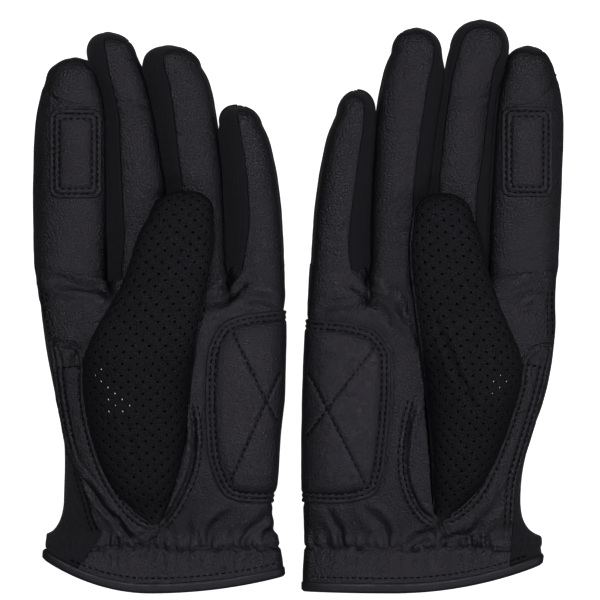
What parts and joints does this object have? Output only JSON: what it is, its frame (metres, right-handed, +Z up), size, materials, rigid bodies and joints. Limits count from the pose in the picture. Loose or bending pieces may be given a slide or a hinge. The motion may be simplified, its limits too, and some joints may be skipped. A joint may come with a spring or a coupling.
{
  "type": "riding gloves",
  "caption": "Short leather riding gloves lying palm up, with bending fingers, lifting perforated thumbs, padded heels and peel-open wrist straps.",
  "frame": {"origin": "centre of the pair's footprint, on the surface that the backs of the gloves lie on", "axes": "+Y runs from the cuffs to the fingertips, +Z up out of the palms, +X from the left glove to the right glove"},
  "size_m": [0.2201, 0.2394, 0.0381],
  "materials": {
    "palm_leather": "fine-grained, satin, with creases",
    "finger_leather": "fine-grained, satin, with creases",
    "pad_leather": "fine-grained, satin, quilted in a cross",
    "patch_leather": "fine-grained, satin, double-stitched",
    "strap_leather": "fine-grained, satin",
    "binding_leather": "smooth, satin, folded over the edge",
    "perforated_leather": "matt, pierced with small round holes",
    "stretch_textile": "fine matt knit",
    "back_textile": "matt knit",
    "elastic_webbing": "ribbed, matt",
    "pad_foam": "open-cell foam",
    "guard_rubber": "moulded, matt",
    "hook_tape": "fine moulded hooks",
    "loop_tape": "brushed loops"
  },
  "bodies": {
    "left_hand": {"left_palm_panel": "palm_leather", "left_back_panel": "back_textile", "left_side_band": "palm_leather", "left_fourchette_index_middle": "stretch_textile", "left_fourchette_middle_ring": "stretch_textile", "left_fourchette_ring_little": "stretch_textile", "left_thumb_gusset": "perforated_leather", "left_heel_pad_cover": "pad_leather", "left_heel_pad_foam": "pad_foam", "left_cuff_binding": "binding_leather", "left_wrist_elastic": "elastic_webbing", "left_knuckle_guard": "guard_rubber", "left_loop_patch": "loop_tape"},
    "left_strap": {"left_wrist_strap": "strap_leather", "left_hook_patch": "hook_tape"},
    "left_thumb": {"left_thumb_front": "perforated_leather", "left_thumb_back": "palm_leather"},
    "left_index": {"left_index_front": "finger_leather", "left_index_side_band": "stretch_textile", "left_index_back": "back_textile", "left_index_patch": "patch_leather"},
    "left_middle": {"left_middle_front": "finger_leather", "left_middle_side_band": "stretch_textile", "left_middle_back": "back_textile"},
    "left_ring": {"left_ring_front": "finger_leather", "left_ring_side_band": "stretch_textile", "left_ring_back": "back_textile"},
    "left_little": {"left_little_front": "finger_leather", "left_little_side_band": "stretch_textile", "left_little_back": "back_textile"},
    "right_hand": {"right_palm_panel": "palm_leather", "right_back_panel": "back_textile", "right_side_band": "palm_leather", "right_fourchette_index_middle": "stretch_textile", "right_fourchette_middle_ring": "stretch_textile", "right_fourchette_ring_little": "stretch_textile", "right_thumb_gusset": "perforated_leather", "right_heel_pad_cover": "pad_leather", "right_heel_pad_foam": "pad_foam", "right_cuff_binding": "binding_leather", "right_wrist_elastic": "elastic_webbing", "right_knuckle_guard": "guard_rubber", "right_loop_patch": "loop_tape"},
    "right_strap": {"right_wrist_strap": "strap_leather", "right_hook_patch": "hook_tape"},
    "right_thumb": {"right_thumb_front": "perforated_leather", "right_thumb_back": "palm_leather"},
    "right_index": {"right_index_front": "finger_leather", "right_index_side_band": "stretch_textile", "right_index_back": "back_textile", "right_index_patch": "patch_leather"},
    "right_middle": {"right_middle_front": "finger_leather", "right_middle_side_band": "stretch_textile", "right_middle_back": "back_textile"},
    "right_ring": {"right_ring_front": "finger_leather", "right_ring_side_band": "stretch_textile", "right_ring_back": "back_textile"},
    "right_little": {"right_little_front": "finger_leather", "right_little_side_band": "stretch_textile", "right_little_back": "back_textile"}
  },
  "joints": [
    {"name": "left_index_bend", "type": "hinge", "parent": "left_hand", "child": "left_index", "pos_m": [-0.095, 0.04433, 0.0172], "axis": [1, 0, 0], "range_deg": [0, 90]},
    {"name": "left_middle_bend", "type": "hinge", "parent": "left_hand", "child": "left_middle", "pos_m": [-0.067, 0.05133, 0.0172], "axis": [1, 0, 0], "range_deg": [0, 90]},
    {"name": "left_ring_bend", "type": "hinge", "parent": "left_hand", "child": "left_ring", "pos_m": [-0.043, 0.05133, 0.0172], "axis": [1, 0, 0], "range_deg": [0, 90]},
    {"name": "left_little_bend", "type": "hinge", "parent": "left_hand", "child": "left_little", "pos_m": [-0.018, 0.03433, 0.0172], "axis": [1, 0, 0], "range_deg": [0, 90]},
    {"name": "left_thumb_lift", "type": "hinge", "parent": "left_hand", "child": "left_thumb", "pos_m": [-0.065, -0.01868, 0.0388], "axis": [1, 0, 0], "range_deg": [0, 60]},
    {"name": "left_strap_open", "type": "hinge", "parent": "left_hand", "child": "left_strap", "pos_m": [-0.027, -0.07368, 0.0017], "axis": [0, -1, 0], "range_deg": [0, 110]},
    {"name": "right_index_bend", "type": "hinge", "parent": "right_hand", "child": "right_index", "pos_m": [0.095, 0.04433, 0.0172], "axis": [1, 0, 0], "range_deg": [0, 90]},
    {"name": "right_middle_bend", "type": "hinge", "parent": "right_hand", "child": "right_middle", "pos_m": [0.067, 0.05133, 0.0172], "axis": [1, 0, 0], "range_deg": [0, 90]},
    {"name": "right_ring_bend", "type": "hinge", "parent": "right_hand", "child": "right_ring", "pos_m": [0.042, 0.05133, 0.0172], "axis": [1, 0, 0], "range_deg": [0, 90]},
    {"name": "right_little_bend", "type": "hinge", "parent": "right_hand", "child": "right_little", "pos_m": [0.018, 0.03732, 0.0172], "axis": [1, 0, 0], "range_deg": [0, 90]},
    {"name": "right_thumb_lift", "type": "hinge", "parent": "right_hand", "child": "right_thumb", "pos_m": [0.07, -0.01868, 0.0388], "axis": [1, 0, 0], "range_deg": [0, 60]},
    {"name": "right_strap_open", "type": "hinge", "parent": "right_hand", "child": "right_strap", "pos_m": [0.021, -0.07368, 0.0017], "axis": [0, 1, 0], "range_deg": [0, 110]},
    {"name": "gloves_apart", "type": "slide", "parent": "left_hand", "child": "right_hand", "axis": [1, 0, 0], "range_m": [0, 0.1]}
  ]
}
